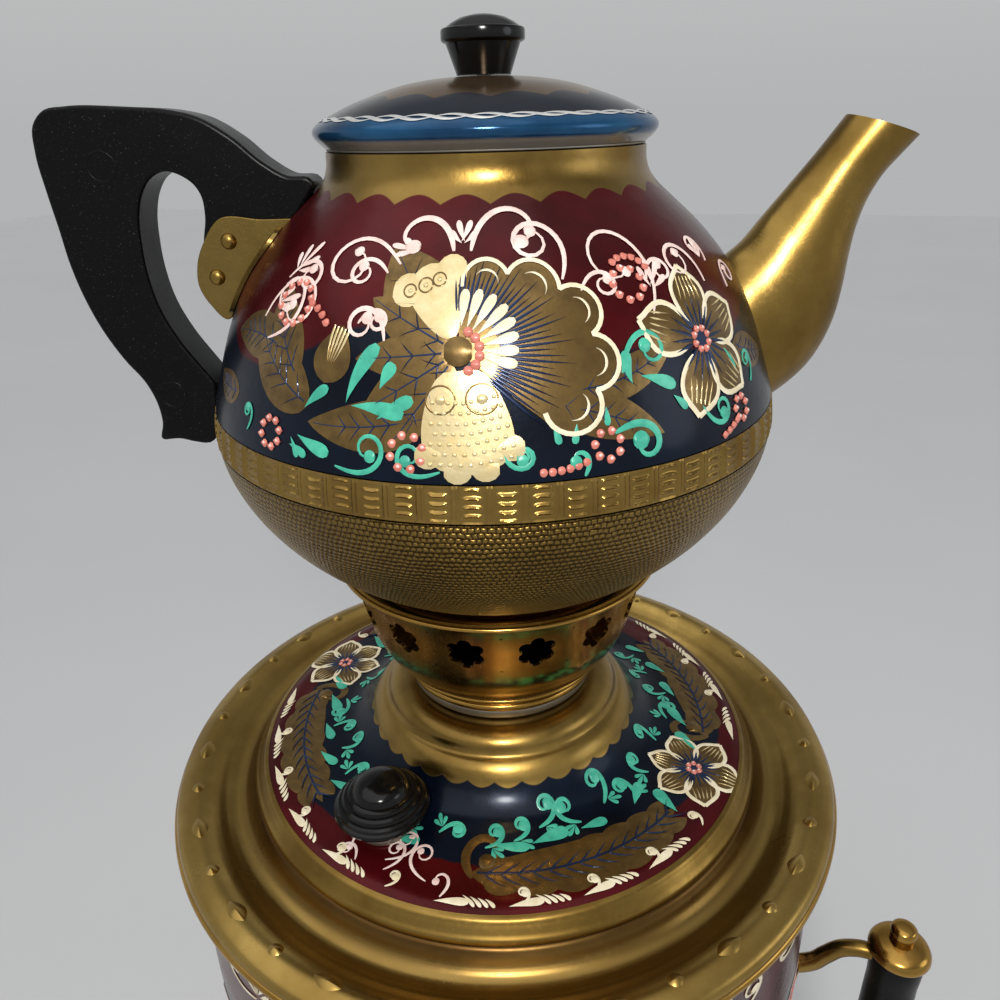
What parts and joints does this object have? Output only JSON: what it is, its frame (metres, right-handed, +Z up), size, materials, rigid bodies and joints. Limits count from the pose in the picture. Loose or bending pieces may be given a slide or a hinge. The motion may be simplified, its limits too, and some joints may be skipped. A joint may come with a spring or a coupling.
{
  "type": "electric samovar with teapot",
  "caption": "Painted brass electric samovar with a lever tap, side handles, a lid and a pierced crown that carries a matching lidded teapot.",
  "frame": {"origin": "centre of the base tray's flat underside, on the table", "axes": "+Z up along the samovar's turning axis, -Y towards the tap, +X and -X towards the side handles"},
  "size_m": [0.2668, 0.2402, 0.4574],
  "materials": {
    "brass": "polished, gold lacquered",
    "painted_body": "gloss lacquer with folk ornament",
    "painted_pot": "gloss lacquer with folk ornament",
    "painted_lid": "gloss lacquer with folk ornament",
    "bare_metal": "brushed",
    "steel": "plated",
    "bakelite": "polished black",
    "rubber": "matte",
    "insulation": "woven sleeve"
  },
  "bodies": {
    "samovar": {"base_tray": "bakelite", "base_skirt": "brass", "pedestal_ring": "brass", "base_bracket": "steel", "tie_rod": "steel", "tie_nut": "steel", "base_screw_left": "steel", "base_screw_right": "steel", "reservoir": "painted_body", "top_flange": "brass", "heater_flange": "brass", "heater_seal": "rubber", "heater_nut": "brass", "heating_element": "steel", "thermal_cutout": "bakelite", "power_inlet": "bakelite", "inlet_pin_left": "bare_metal", "inlet_pin_right": "bare_metal", "lead_wire_left": "insulation", "lead_wire_right": "insulation", "tap_escutcheon": "brass", "tap_body": "brass", "tap_washer": "rubber", "tap_inner_nut": "brass", "handle_grip_right": "bakelite", "handle_arm_right_upper": "brass", "handle_arm_right_lower": "brass", "handle_cap_right_top": "brass", "handle_cap_right_bottom": "brass", "handle_grip_left": "bakelite", "handle_arm_left_upper": "brass", "handle_arm_left_lower": "brass", "handle_cap_left_top": "brass", "handle_cap_left_bottom": "brass"},
    "tap_key": {"tap_plug": "brass", "tap_lever": "bakelite", "tap_plug_washer": "brass", "tap_plug_nut": "brass"},
    "lid": {"samovar_lid": "painted_lid", "lid_neck_ring": "bare_metal", "lid_knob_front": "bakelite", "lid_knob_back": "bakelite", "lid_ferrule_front": "bare_metal", "lid_ferrule_back": "bare_metal", "lid_screw_front": "steel", "lid_screw_back": "steel"},
    "crown": {"crown": "brass"},
    "teapot": {"pot_body": "painted_pot", "pot_foot": "brass", "spout": "brass", "pot_bracket": "brass", "pot_handle": "bakelite", "pot_rivet_upper": "brass", "pot_rivet_lower": "brass"},
    "teapot_lid": {"pot_lid": "painted_lid", "pot_lid_collar": "bare_metal", "pot_lid_knob": "bakelite", "pot_lid_screw": "steel"}
  },
  "joints": [
    {"name": "tap_turn", "type": "hinge", "parent": "samovar", "child": "tap_key", "pos_m": [0, -0.112, 0.096], "axis": [0, 0, 1], "range_deg": [0, 90]},
    {"name": "lid_lift", "type": "slide", "parent": "samovar", "child": "lid", "axis": [0, 0, 1], "range_m": [0, 0.12]},
    {"name": "crown_lift", "type": "slide", "parent": "lid", "child": "crown", "axis": [0, 0, 1], "range_m": [0, 0.1]},
    {"name": "teapot_lift", "type": "slide", "parent": "crown", "child": "teapot", "axis": [0, 0, 1], "range_m": [0, 0.15]},
    {"name": "teapot_lid_lift", "type": "slide", "parent": "teapot", "child": "teapot_lid", "axis": [0, 0, 1], "range_m": [0, 0.1]}
  ]
}
